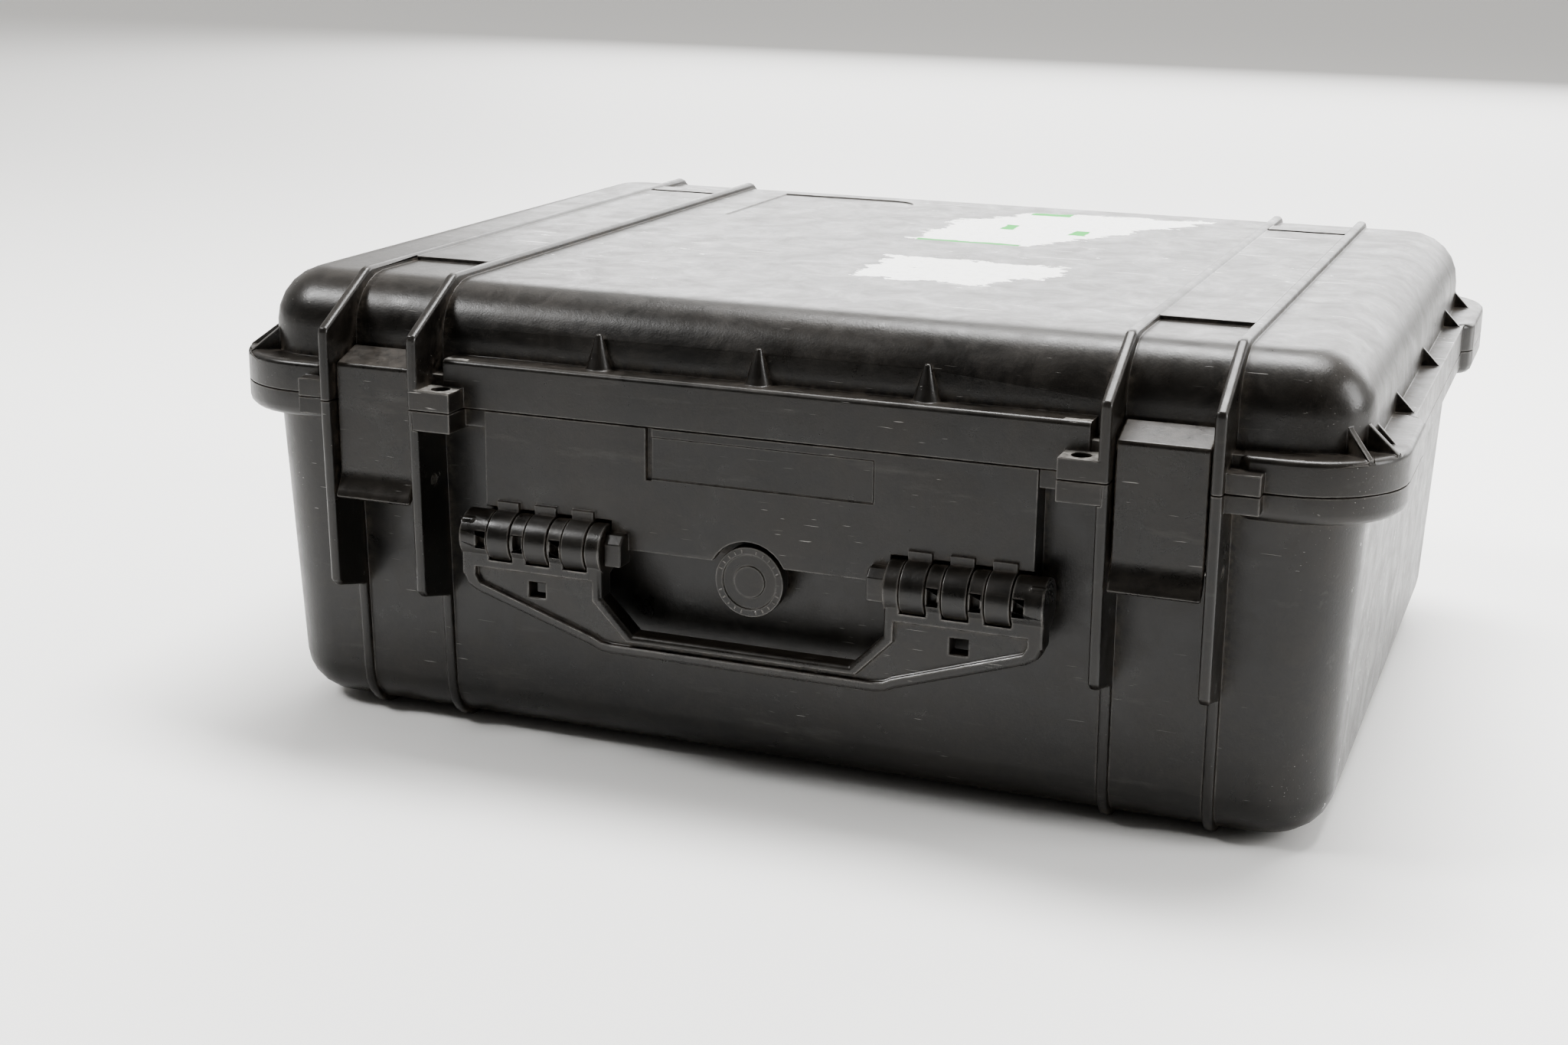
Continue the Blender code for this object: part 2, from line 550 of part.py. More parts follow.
def base_shell():
    """The base, open above, with every fixed part of the latches, the handle and the hinge moulded on."""
    floor_low = RIB_PROUD
    body = rounded_box("base_shell", BODY_X, BODY_Y, floor_low, BASE_TOP, CORNER,
                       low_inset=wall_inset(floor_low), low_round=FLOOR_RADIUS)
    ring_low = PARTING - FLANGE_DOWN
    added = [rounded_box("base_flange", FLANGE_X, FLANGE_Y, ring_low, BASE_TOP, CORNER + 10),
             box("front_panel", (-PANEL_X, PANEL_Y, PANEL_LOW), (PANEL_X, -BODY_Y + 5, BASE_TOP)),
             rod("valve_boss", "y", (0, VALVE_Z), -BODY_Y - 0.4, -BODY_Y + 6, VALVE_BOSS, sides=28)]
    for name, side in SIDES:
        for end_name, end in (("front", -1), ("rear", 1)):
            ear_low = PARTING - EAR_DOWN
            added.append(plate(f"base_ear_{end_name}_{name}", ear_outline(side, end), ear_low, BASE_TOP, "z",
                               rim=EAR_LOW_ROUND, rims=(ear_low,)))
        low_x, high_x = sorted((side * (RIB_IN - RIB / 2 - LUG_WIDTH + 1), side * RIB_IN))
        added.append(box(f"base_padlock_lug_{name}", (low_x, FRONT, PARTING - LUG_UP),
                         (high_x, PANEL_Y + 6, BASE_TOP)))
        low_x, high_x = sorted((side * RIB_OUT, side * (RIB_OUT + OUTER_LUG)))
        added.append(box(f"base_outer_lug_{name}", (low_x, FRONT + 4.5, PARTING - LUG_UP + 1.5),
                         (high_x, -BODY_Y + 3, BASE_TOP)))
    for number, x in enumerate(rib_lines()):
        added.append(base_rib(f"front_rib_{number}", x, -1))
        added.append(base_rib(f"rear_rib_{number}", x, 1))

    inner_low = floor_low + WALL
    cut = [rounded_box("base_hollow", BODY_X - WALL, BODY_Y - WALL, inner_low, BASE_TOP + 5, CORNER - WALL,
                       low_inset=wall_inset(inner_low), high_inset=-5 * tan(DRAFT),
                       low_round=FLOOR_RADIUS - WALL),
           box("panel_pocket", (-PANEL_X + 4, PANEL_Y + PANEL_SKIN, PANEL_LOW - 1),
               (PANEL_X - 4, -BODY_Y, PARTING - FLANGE_DOWN - 1)),
           rod("knob_arch", "y", (0, VALVE_Z), FRONT, -BODY_Y - 0.5, KNOB + 2.5, sides=32),
           rod("valve_hole", "y", (0, VALVE_Z), FRONT, 0, STEM + FIT, sides=24),
           box("plate_recess", (PLATE_OFFSET - PLATE_WIDTH / 2, PANEL_Y - 1, PARTING - PLATE_DOWN),
               (PLATE_OFFSET + PLATE_WIDTH / 2, PANEL_Y + PLATE_DEPTH, PARTING - 4)),
           box("plate_groove", (PLATE_OFFSET - PLATE_WIDTH / 2 - 2, PANEL_Y - 1, PARTING - PLATE_DOWN - 1),
               (PLATE_OFFSET - PLATE_WIDTH / 2 + 0.5, PANEL_Y + 2.2, BASE_TOP + 1))]
    for name, side in SIDES:
        cut.append(padlock_hole(name, side, "base"))
        low_x, high_x = sorted((side * (RIB_IN + RIB / 2), side * (RIB_OUT - RIB / 2)))
        cut.append(box(f"link_relief_{name}", (low_x, FRONT, LINK_Z - 8),
                       (high_x, -BODY_Y - 0.6, PARTING - 6)))
        for number, (low, high) in enumerate(handle_knuckle_spans(side)):
            cut.append(rod(f"handle_slot_{name}_{number}", "x", (HANDLE_Y, HANDLE_Z), low - FIT, high + FIT,
                           DRUM + 0.9, sides=28))
        reach = (RIB_SPACING + RIB) / 2 + 1.6
        cut.append(rod(f"latch_pin_hole_{name}", "x", (LINK_Y, LINK_Z), side * LATCH_X - reach,
                       side * LATCH_X + reach, LATCH_PIN + FIT, sides=16))

    knuckles = []
    bores = []
    for name, side in SIDES:
        for number in (-1, 0, 1):
            middle = side * LATCH_X + number * 2 * (KNUCKLE_WIDTH + FIT)
            low, high = middle - KNUCKLE_WIDTH / 2, middle + KNUCKLE_WIDTH / 2
            knuckles.append(rod(f"base_knuckle_{name}_{number}", "x", (HINGE_Y, PARTING), low, high, KNUCKLE,
                                sides=20))
            outline = [(BODY_Y - 3, PARTING - 34), (BODY_Y - 3, BASE_TOP), (HINGE_Y, BASE_TOP),
                       (HINGE_Y + KNUCKLE * 0.7, PARTING - KNUCKLE * 0.7)]
            knuckles.append(plate(f"base_hinge_web_{name}_{number}", outline, low, high, "x"))
        for number, x in enumerate(drum_places(side)):
            low, high = x - DRUM_WIDTH / 2, x + DRUM_WIDTH / 2
            knuckles.append(rod(f"handle_drum_{name}_{number}", "x", (HANDLE_Y, HANDLE_Z), low, high, DRUM,
                                sides=28))
            outline = [(HANDLE_Y, HANDLE_Z - 8), (HANDLE_Y, HANDLE_Z + DRUM - 1.5),
                       (PANEL_Y - 2, HANDLE_Z + DRUM + 4), (PANEL_Y + 2, HANDLE_Z + DRUM + 4),
                       (-BODY_Y + 5, HANDLE_Z + DRUM), (-BODY_Y + 5, HANDLE_Z - 8)]
            knuckles.append(plate(f"handle_drum_web_{name}_{number}", outline, low, high, "x"))
        bores.append(hinge_bore(name, side, "base"))
        low, high = sorted((side * (HANDLE_IN - FIT - PIN_BOSS), side * (HANDLE_IN - FIT)))
        boss = [(HANDLE_Y - 6.5, HANDLE_Z - 6), (HANDLE_Y - 6.5, HANDLE_Z + 4),
                (HANDLE_Y - 3, HANDLE_Z + 7.5), (PANEL_Y + 2, HANDLE_Z + 7.5), (PANEL_Y + 2, HANDLE_Z - 6)]
        knuckles.append(plate(f"handle_pin_boss_{name}", boss, low, high, "x", rim=0.8))
        low, high = sorted((side * (HANDLE_IN - PIN_BOSS + 2), side * (HANDLE_X - 4)))
        bores.append(rod(f"handle_bore_{name}", "x", (HANDLE_Y, HANDLE_Z), low, high, HANDLE_PIN + FIT,
                         sides=16))
    finish_node(body, shell_black, [("UNION", added), ("DIFFERENCE", cut),
                                    ("UNION", knuckles), ("DIFFERENCE", bores)])


def lid_seal():
    """The soft ring in the groove of the lid flange."""
    finish_node(seal_ring("lid_seal", SEAL, LID_LOW + FIT, LID_LOW + SEAL - FIT), seal_rubber,
                axis=(0, HINGE_Y, PARTING))


def hinge_pin(name, side):
    reach = 2.5 * KNUCKLE_WIDTH + 2 * FIT
    pin = rod(f"hinge_pin_{name}", "x", (HINGE_Y, PARTING), side * LATCH_X - reach, side * LATCH_X + reach,
              HINGE_PIN, sides=16)
    finish_node(pin, pin_steel)


def latch(name, side):
    """One latch: the link on its base pin and the hooked lever on its own pin."""
    middle = side * LATCH_X
    half = LATCH_WIDTH / 2
    skin = FRONT + LATCH_SETBACK
    inner = skin + LATCH_SKIN
    lip = PARTING - LIP_DOWN
    outline = [(skin - 4.6, lip), (skin - 3.4, lip + 3.0), (skin - 1.2, lip + 6.5), (skin, lip + 12),
               (skin - 0.5, HOOD_TOP - 2.6), (skin + 0.6, HOOD_TOP - 0.7), (skin + 2.6, HOOD_TOP),
               (skin + HOOD_DEPTH - 1.0, HOOD_TOP + HOOD_RISE),
               (skin + HOOD_DEPTH, HOOD_TOP + HOOD_RISE - 1.0), (skin + HOOD_DEPTH, HOOD_LAND),
               (inner, HOOD_LAND), (inner, lip + 11), (inner - 1.0, lip + 6), (inner - 3.4, lip + 1.6),
               (inner - 6.2, lip - 1.2)]
    lever = plate(f"latch_lever_{name}", outline, middle - half, middle + half, "x", rim=0.9)
    cheeks = []
    for number, edge in enumerate((-1, 1)):
        outer = middle + edge * half
        low, high = sorted((outer, outer - edge * (half - LINK_WIDTH / 2 - 2 * FIT)))
        cheek = [(inner - 1, LEVER_Z - 9), (inner - 1, LEVER_Z + 5.5), (LEVER_Y, LEVER_Z + 5.5),
                 *arc((LEVER_Y, LEVER_Z), 5.5, 90, -60, 6)]
        cheeks.append(plate(f"lever_cheek_{name}_{number}", cheek, low, high, "x"))
    lever_hole = rod(f"lever_hole_{name}", "x", (LEVER_Y, LEVER_Z), middle - half - 1, middle + half + 1,
                     LATCH_PIN + FIT, sides=16)
    finish_node(lever, latch_black, [("UNION", cheeks), ("DIFFERENCE", [lever_hole])],
                axis=(middle, LEVER_Y, LEVER_Z))

    low, high = middle - LINK_WIDTH / 2, middle + LINK_WIDTH / 2
    link = rod(f"latch_link_{name}", "x", (LINK_Y, LINK_Z), low, high, EYE, sides=20)
    web = [(LINK_Y - 2.0, LINK_Z), (LEVER_Y - 2.0, LEVER_Z), (LEVER_Y + 2.4, LEVER_Z), (LINK_Y + 2.4, LINK_Z)]
    joined = [rod(f"link_eye_{name}", "x", (LEVER_Y, LEVER_Z), low, high, EYE, sides=20),
              plate(f"link_web_{name}", web, low, high, "x")]
    bores = [rod(f"link_bore_{number}_{name}", "x", eye, low - 1, high + 1, LATCH_PIN + FIT, sides=16)
             for number, eye in enumerate(((LINK_Y, LINK_Z), (LEVER_Y, LEVER_Z)))]
    finish_node(link, latch_black, [("UNION", joined), ("DIFFERENCE", bores)],
                axis=(middle, LINK_Y, LINK_Z))

    reach = RIB_SPACING / 2 + RIB / 2 - 0.5
    base_pin = rod(f"latch_base_pin_{name}", "x", (LINK_Y, LINK_Z), middle - reach, middle + reach,
                   LATCH_PIN, sides=16)
    finish_node(base_pin, pin_steel)
    lever_pin = rod(f"latch_lever_pin_{name}", "x", (LEVER_Y, LEVER_Z), middle - half + 0.3,
                    middle + half - 0.3, LATCH_PIN, sides=16)
    finish_node(lever_pin, pin_steel, axis=(middle, LEVER_Y, LEVER_Z))


def mirrored(points):
    """An outline given for +X, closed by its mirror image."""
    return points + [(-x, y) for x, y in reversed(points)]


def handle():
    """The folding handle, hanging: two broad arms with a thick rim and a thin web, and a grip between."""
    out = HANDLE_X
    inn = HANDLE_IN
    top = HANDLE_Z
    low = HANDLE_Z - HANDLE_DROP
    back = HANDLE_Y + HANDLE_BACK
    front = back - HANDLE_THICK
    outline = mirrored([(inn, top), (out, top), (out, top - 17), (out - 2, top - 21.5),
                        (out - 7, top - 24.5), (out - 19, top - 28.5), (out - 62, low + 2.6),
                        (out - 66, low + 0.8), (out - 72, low)])
    inner_edge = [(inn, top - 20), (inn - 14.5, top - 35)]
    outline += [(-x, y) for x, y in inner_edge] + [(x, y) for x, y in reversed(inner_edge)]
    body = plate("handle", outline, front, back, "y", rim=HANDLE_RIM)
    knuckles, cut = [], []
    web = mirrored([(inn - 11.6, top - 38.4), (inn + 4.5, top - 21.8), (inn + 4.5, top - 13),
                    (out - END_PLATE, top - 13), (out - END_PLATE, top - 16.5), (out - 8.5, top - 20),
                    (out - 20.5, top - 24), (out - 63.5, low + 7), (out - 67, low + 5.2),
                    (out - 72, low + 4.4)])
    cut.append(plate("web_recess", web, front - 1, front + WEB_RECESS, "y"))
    for name, side in SIDES:
        for number, (low_x, high_x) in enumerate(handle_knuckle_spans(side)):
            knuckles.append(rod(f"handle_knuckle_{name}_{number}", "x", (HANDLE_Y, HANDLE_Z), low_x, high_x,
                                DRUM - 0.5, sides=28))
        low_x, high_x = sorted((side * (out - END_PLATE), side * out))
        end = [(front, top - 17), (front, top + END_PLATE_UP - 1), (front + 1, top + END_PLATE_UP),
               (back, top + END_PLATE_UP), (back, top - 17)]
        knuckles.append(plate(f"handle_end_{name}", end, low_x, high_x, "x", rim=1.0))
        for number, x in enumerate(drum_places(side)):
            reach = DRUM_WIDTH / 2 + FIT
            cut.append(rod(f"drum_room_{name}_{number}", "x", (HANDLE_Y, HANDLE_Z), x - reach, x + reach,
                           DRUM + 0.9, sides=28))
            cut.append(box(f"drum_gap_{name}_{number}", (x - reach, front - 1, HANDLE_Z),
                           (x + reach, back + 1, HANDLE_Z + 5)))
            outer_side = x + side * (reach + 0.9)
            low_x, high_x = sorted((outer_side, outer_side + side * 4.2))
            cut.append(box(f"knuckle_window_{name}_{number}", (low_x, FRONT - 1, HANDLE_Z - 3.6),
                           (high_x, FRONT + 5.0, HANDLE_Z + 3.6)))
        low_x, high_x = sorted((side * (out - 39.5), side * (out - 31.5)))
        cut.append(box(f"web_hole_{name}", (low_x, front - 1, top - 24.5), (high_x, back + 1, top - 17.5)))
        low_x, high_x = sorted((side * (inn - 1), side * (out - 4)))
        cut.append(rod(f"handle_pin_bore_{name}", "x", (HANDLE_Y, HANDLE_Z), low_x, high_x,
                       HANDLE_PIN + FIT, sides=16))
    finish_node(body, handle_black, [("UNION", knuckles), ("DIFFERENCE", cut)],
                axis=(0, HANDLE_Y, HANDLE_Z))
    for name, side in SIDES:
        low_x, high_x = sorted((side * (inn - PIN_BOSS + 2.5), side * (out - 4.5)))
        pin = rod(f"handle_pin_{name}", "x", (HANDLE_Y, HANDLE_Z), low_x, high_x, HANDLE_PIN, sides=16)
        finish_node(pin, pin_steel)


def purge_valve():
    """The valve in the front wall: a stem with a flange, its o-ring and nut, and the knob on it."""
    seat = -BODY_Y - 0.5
    o_ring = rod("valve_o_ring", "y", (0, VALVE_Z), seat - FIT - O_RING, seat - FIT, KNOB - 5, sides=28)
    o_ring_hole = rod("valve_o_ring_hole", "y", (0, VALVE_Z), seat - 10, seat + 10, STEM + 1.5, sides=28)
    finish_node(o_ring, seal_rubber, [("DIFFERENCE", [o_ring_hole])])

    inner_wall = -BODY_Y + wall_inset(VALVE_Z) + WALL
    flange = seat - 2 * FIT - O_RING
    knob_back = seat - KNOB_GAP
    face = knob_back - KNOB_DEPTH
    stem = rod("valve_body", "y", (0, VALVE_Z), face + KNOB_SKIN + FIT, inner_wall + 6.5, STEM, sides=24)
    stem_flange = rod("valve_flange", "y", (0, VALVE_Z), flange - 2.0, flange, KNOB - 3.5, sides=28)
    finish_node(stem, knob_black, [("UNION", [stem_flange])])

    nut = rod("valve_nut", "y", (0, VALVE_Z), inner_wall + FIT, inner_wall + FIT + 4.0, STEM + 4.5, sides=6)
    nut_hole = rod("valve_nut_hole", "y", (0, VALVE_Z), inner_wall - 5, inner_wall + 10, STEM + FIT, sides=24)
    finish_node(nut, knob_black, [("DIFFERENCE", [nut_hole])])

    knob = rod("valve_knob", "y", (0, VALVE_Z), face, knob_back, KNOB, sides=40)
    knob_room = [rod("knob_skirt", "y", (0, VALVE_Z), face + KNOB_SKIN, seat, VALVE_BOSS, sides=28),
                 rod("knob_dish", "y", (0, VALVE_Z), face - 1, face + 0.8, KNOB - 3.4, sides=32)]
    knob_centre = rod("knob_centre", "y", (0, VALVE_Z), face + 0.1, face + 1.6, KNOB - 8.5, sides=24)
    finish_node(knob, knob_black, [("DIFFERENCE", knob_room), ("UNION", [knob_centre])],
                axis=(0, face, VALVE_Z))


def foam_half(low):
    """The foam's half sizes, so that it drops past the drafted wall to its own lowest level."""
    inset = wall_inset(low) + WALL + FOAM_GAP
    return BODY_X - inset, BODY_Y - inset


def foam():
    """A base pad, two layers with the same bay picked out of them, and a thick pad in the lid."""
    floor_top = RIB_PROUD + WALL + 0.5
    half_x, half_y = foam_half(floor_top)
    corner = CORNER - WALL - FOAM_GAP / 2
    finish_node(rounded_box("foam_base_pad", half_x, half_y, floor_top, floor_top + FOAM_PAD, corner,
                            low_round=FLOOR_RADIUS - WALL, steps=5, edge_steps=3), foam_grey)
    stack_low = floor_top + FOAM_PAD + FIT
    stack_high = BASE_TOP - FOAM_BELOW_RIM
    layer = (stack_high - stack_low - FIT) / 2
    bay_x = floor((2 * half_x - 2 * FOAM_BORDER) / FOAM_CELL) * FOAM_CELL / 2
    bay_y = floor((2 * half_y - 2 * FOAM_BORDER) / FOAM_CELL) * FOAM_CELL / 2
    for number, name in enumerate(("foam_lower_layer", "foam_upper_layer")):
        low = stack_low + number * (layer + FIT)
        half_x, half_y = foam_half(low)
        block = rounded_box(name, half_x, half_y, low, low + layer, corner, steps=5)
        bay = box(name + "_bay", (-bay_x, -bay_y, low - 1), (bay_x, bay_y, low + layer + 1))
        notch = box(name + "_valve_notch", (-KNOB - 0.5, -BODY_Y, low - 1),
                    (KNOB + 0.5, -half_y + 8, low + layer + 1))
        finish_node(block, foam_grey, [("DIFFERENCE", [bay, notch])])
    roof = LID_TOP - WALL - 0.5
    inset = (LID_TOP - PARTING) * tan(LID_DRAFT) + WALL + FOAM_GAP
    finish_node(rounded_box("foam_lid_pad", BODY_X - inset, BODY_Y - inset, LID_LOW + 5, roof, corner,
                            high_round=LID_EDGE - WALL, steps=5, edge_steps=3),
                foam_grey, axis=(0, HINGE_Y, PARTING))


base_shell()
lid_shell()
lid_seal()
for side_name, side_sign in SIDES:
    hinge_pin(side_name, side_sign)
    latch(side_name, side_sign)
handle()
purge_valve()
foam()
for node in finished:
    case_parts.objects.link(node)
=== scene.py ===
from math import cos, pi, radians, sin

import bpy
from mathutils import Matrix, Vector


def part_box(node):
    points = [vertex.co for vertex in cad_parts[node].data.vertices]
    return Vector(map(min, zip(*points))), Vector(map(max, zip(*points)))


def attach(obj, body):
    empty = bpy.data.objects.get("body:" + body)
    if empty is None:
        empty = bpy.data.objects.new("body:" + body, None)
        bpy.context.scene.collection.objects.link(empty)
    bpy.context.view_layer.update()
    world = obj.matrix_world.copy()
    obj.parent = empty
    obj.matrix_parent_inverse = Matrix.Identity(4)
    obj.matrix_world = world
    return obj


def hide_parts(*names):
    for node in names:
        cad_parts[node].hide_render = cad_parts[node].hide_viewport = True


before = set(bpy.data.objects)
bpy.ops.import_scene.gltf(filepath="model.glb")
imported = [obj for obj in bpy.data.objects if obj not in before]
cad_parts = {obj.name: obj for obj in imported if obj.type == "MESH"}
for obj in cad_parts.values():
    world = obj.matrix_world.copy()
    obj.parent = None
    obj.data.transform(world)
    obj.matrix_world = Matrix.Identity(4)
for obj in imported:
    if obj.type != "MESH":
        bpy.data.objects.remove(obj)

bpy.ops.object.select_all(action="DESELECT")
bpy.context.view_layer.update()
print("frame loaded,", len(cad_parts), "parts")


viewSettings = {
    "turn": 21.064,  # degrees round from straight ahead
    "down": 15.92,
    "roll": 0.756,
    "place": (0.3377, -1.0383, 0.3768),
    "lens": 51.28,
    "sensor": 36.0,
    "nearest": 0.01,
    "look": "AgX - Medium High Contrast",
}

studio = {
    "floorSize": 44.0,
    "floorColour": (0.93, 0.925, 0.91, 1.0),
    "skyColour": (1.0, 0.985, 0.96, 1.0),
    "skyFront": 0.12,  # strength behind the camera
    "skyBack": 0.92,
    "skySpan": (-0.7, 0.8),  # from behind the camera to ahead of it
    "floorRoughness": 0.6,
    # name, place, aims at, wide, high, watts
    "lamps": (
        ("backSoftbox", (0.2, 3.4, 1.5), (0.0, 0.0, 0.15), 5.0, 2.2, 150.0),
        ("keySoftbox", (-1.6, -1.0, 1.9), (0.0, 0.0, 0.12), 0.6, 0.6, 36.0),
        ("overheadSoftbox", (0.1, 0.4, 2.0), (0.0, 0.0, 0.1), 1.4, 0.6, 66.0),
        ("rightSoftbox", (2.3, 0.2, 1.0), (0.0, 0.0, 0.12), 0.8, 1.3, 32.0),
    ),
}


def addCamera():
    camera = bpy.data.objects.new("camera", bpy.data.cameras.new("camera"))
    bpy.context.scene.collection.objects.link(camera)
    camera.data.lens = viewSettings["lens"]
    camera.data.sensor_width = viewSettings["sensor"]
    camera.data.clip_start = viewSettings["nearest"]
    turn = Matrix.Rotation(radians(viewSettings["turn"]), 4, "Z")
    tilt = Matrix.Rotation(radians(90 - viewSettings["down"]), 4, "X")
    roll = Matrix.Rotation(radians(viewSettings["roll"]), 4, "Z")
    camera.matrix_world = Matrix.Translation(viewSettings["place"]) @ turn @ tilt @ roll
    bpy.context.scene.camera = camera
    bpy.context.scene.view_settings.look = viewSettings["look"]


def addStudio():
    world = bpy.data.worlds.new("studioSky")
    bpy.context.scene.world = world
    world.use_nodes = True
    sky = world.node_tree.nodes["Background"]
    sky.inputs["Color"].default_value = studio["skyColour"]
    tree = world.node_tree
    direction = addNode(tree, "TexCoord").outputs["Generated"]
    towards = addNode(tree, "SeparateXYZ", (("Vector", direction),)).outputs["Y"]
    strength = ramp(tree, towards, *studio["skySpan"], studio["skyFront"], studio["skyBack"])
    tree.links.new(strength, sky.inputs["Strength"])
    for name, place, target, wide, high, watts in studio["lamps"]:
        lamp = bpy.data.objects.new(name, bpy.data.lights.new(name, "AREA"))
        bpy.context.scene.collection.objects.link(lamp)
        lamp.data.shape = "RECTANGLE"
        lamp.data.size = wide
        lamp.data.size_y = high
        lamp.data.energy = watts
        lamp.visible_camera = False
        lamp.location = place
        lamp.rotation_euler = (Vector(target) - Vector(place)).to_track_quat("-Z", "Y").to_euler()
    bpy.ops.mesh.primitive_plane_add(size=studio["floorSize"])
    floor = bpy.context.active_object
    floor.name = "studioFloor"
    paint = bpy.data.materials.new("floorPaint")
    paint.use_nodes = True
    shader = paint.node_tree.nodes["Principled BSDF"]
    shader.inputs["Base Color"].default_value = studio["floorColour"]
    shader.inputs["Roughness"].default_value = studio["floorRoughness"]
    floor.data.materials.append(paint)
    bpy.ops.object.select_all(action="DESELECT")


def startMaterial(name):
    material = bpy.data.materials.new(name)
    material.use_nodes = True
    return material, material.node_tree, material.node_tree.nodes["Principled BSDF"]


def addNode(tree, kind, inputs=(), **settings):
    # inputs are (socket, value or another node's output) pairs
    node = tree.nodes.new("ShaderNode" + kind)
    for setting, value in settings.items():
        setattr(node, setting, value)
    for socket, value in inputs:
        if isinstance(value, bpy.types.NodeSocket):
            tree.links.new(value, node.inputs[socket])
        else:
            node.inputs[socket].default_value = value
    return node


def objectPlace(tree):
    return addNode(tree, "TexCoord").outputs["Object"]


def noiseAt(tree, place, scale, detail=3.0, rough=0.55, distortion=0.0):
    return addNode(tree, "TexNoise", (("Vector", place), ("Scale", scale), ("Detail", detail),
                                      ("Roughness", rough), ("Distortion", distortion))).outputs["Fac"]


def turned(tree, place, angles, stretch=(1.0, 1.0, 1.0), shift=(0.0, 0.0, 0.0)):
    return addNode(tree, "Mapping", (("Vector", place), ("Rotation", [radians(a) for a in angles]),
                                     ("Scale", stretch), ("Location", shift))).outputs["Vector"]


def streaks(tree, place, angles, stretch, detail, rough):
    # noise that is turned first and then drawn out along its axes
    return noiseAt(tree, turned(tree, place, angles, stretch), 1.0, detail, rough)


def ramp(tree, value, low, high, toLow=0.0, toHigh=1.0):
    return addNode(tree, "MapRange", (("Value", value), ("From Min", low), ("From Max", high),
                                      ("To Min", toLow), ("To Max", toHigh)), clamp=True).outputs["Result"]


def mathOf(tree, operation, first, second):
    return addNode(tree, "Math", ((0, first), (1, second)), operation=operation).outputs["Value"]


def product(tree, first, *others):
    for other in others:
        first = mathOf(tree, "MULTIPLY", first, other)
    return first


def mixColour(tree, amount, first, second):
    node = addNode(tree, "Mix", data_type="RGBA")
    for socket, value in (("Factor_Float", amount), ("A_Color", first), ("B_Color", second)):
        target = next(s for s in node.inputs if s.identifier == socket)
        if isinstance(value, bpy.types.NodeSocket):
            tree.links.new(value, target)
        else:
            target.default_value = value
    return next(s for s in node.outputs if s.identifier == "Result_Color")


def dotOf(tree, first, second):
    node = addNode(tree, "VectorMath", ((0, first), (1, second)), operation="DOT_PRODUCT")
    return node.outputs["Value"]


def edgeMask(tree, radius, low=0.995, high=0.86):
    # how much a rounded corner would turn the surface here
    geometry = addNode(tree, "NewGeometry").outputs["Normal"]
    rounded = addNode(tree, "Bevel", (("Radius", radius),), samples=6).outputs["Normal"]
    return ramp(tree, dotOf(tree, geometry, rounded), low, high)


def openness(tree, reach):
    return addNode(tree, "AmbientOcclusion", (("Distance", reach),), samples=6).outputs["AO"]


def facing(tree, axis="Z"):
    # the piece's own normal, so that a finish stays put when the piece swings
    normal = addNode(tree, "TexCoord").outputs["Normal"]
    return addNode(tree, "SeparateXYZ", (("Vector", normal),)).outputs[axis]


def scratchMask(tree, place, settings):
    # fine lines, each family in its own direction, and only in patches
    total = None
    for number, (angles, length, width, cut) in enumerate(settings["families"]):
        stretch = (1 / length, 1 / width, 1 / width)
        along = turned(tree, place, angles, stretch, (number * 3.1, number * 1.7, 0.4))
        lines = ramp(tree, noiseAt(tree, along, 1.0, 1.0, 0.4), cut, cut + 0.03)
        patch = ramp(tree, noiseAt(tree, place, settings["patch"] + number * 3, 2.0), 0.54, 0.64)
        lines = product(tree, lines, patch)
        total = lines if total is None else mathOf(tree, "MAXIMUM", total, lines)
    return total


addCamera()
addStudio()
print("camera and studio set")


shellFinish = {
    "base": (0.0034, 0.0029, 0.0023, 1.0),
    "faded": (0.0165, 0.0136, 0.0106, 1.0),
    "worn": (0.19, 0.18, 0.168, 1.0),
    "dustAndPaintedSheen": (0.13, 0.108, 0.086, 1.0),
    "scratch": (0.36, 0.35, 0.33, 1.0),
    "roughness": 0.30,
    "wear": 0.95,
    "wornSmoothness": 0.10,
    "dustAmount": 0.60,
    "dustRoughness": 0.45,
    # pale dust film on upward faces; on the latches it is raised and also acts as painted sheen
    "film": 0.10,
    "creviceReach": 0.009,
    "edge": 0.0013,
    # noise: scale, detail, roughness, distortion
    "cloud": (14.0, 7.0, 0.66),
    "speckle": (210.0, 5.0, 0.7),
    "smudge": (48.0, 8.0, 0.74, 0.6),
    "broken": (130.0, 5.0, 0.7),
    "grain": (1100.0, 2.0, 0.5),
    "waves": (75.0, 4.0, 0.6),  # slow waves under the fine grain
    "rubbing": ((0, 0, 8), (14.0, 120.0, 90.0), 6.0, 0.68),  # streaks: angles, stretch, detail, roughness
    "grainDepth": 0.00005,
    "waveHeight": 3.6,
    "scratchAmount": 0.7,
    "scratchDepth": 0.9,
    "scratches": {
        "patch": 9.0,
        "families": (
            ((0, 0, 9), 0.020, 0.0007, 0.765),
            ((20, 10, 64), 0.010, 0.0006, 0.765),
            ((35, 25, -38), 0.014, 0.0006, 0.765),
        ),
    },
}


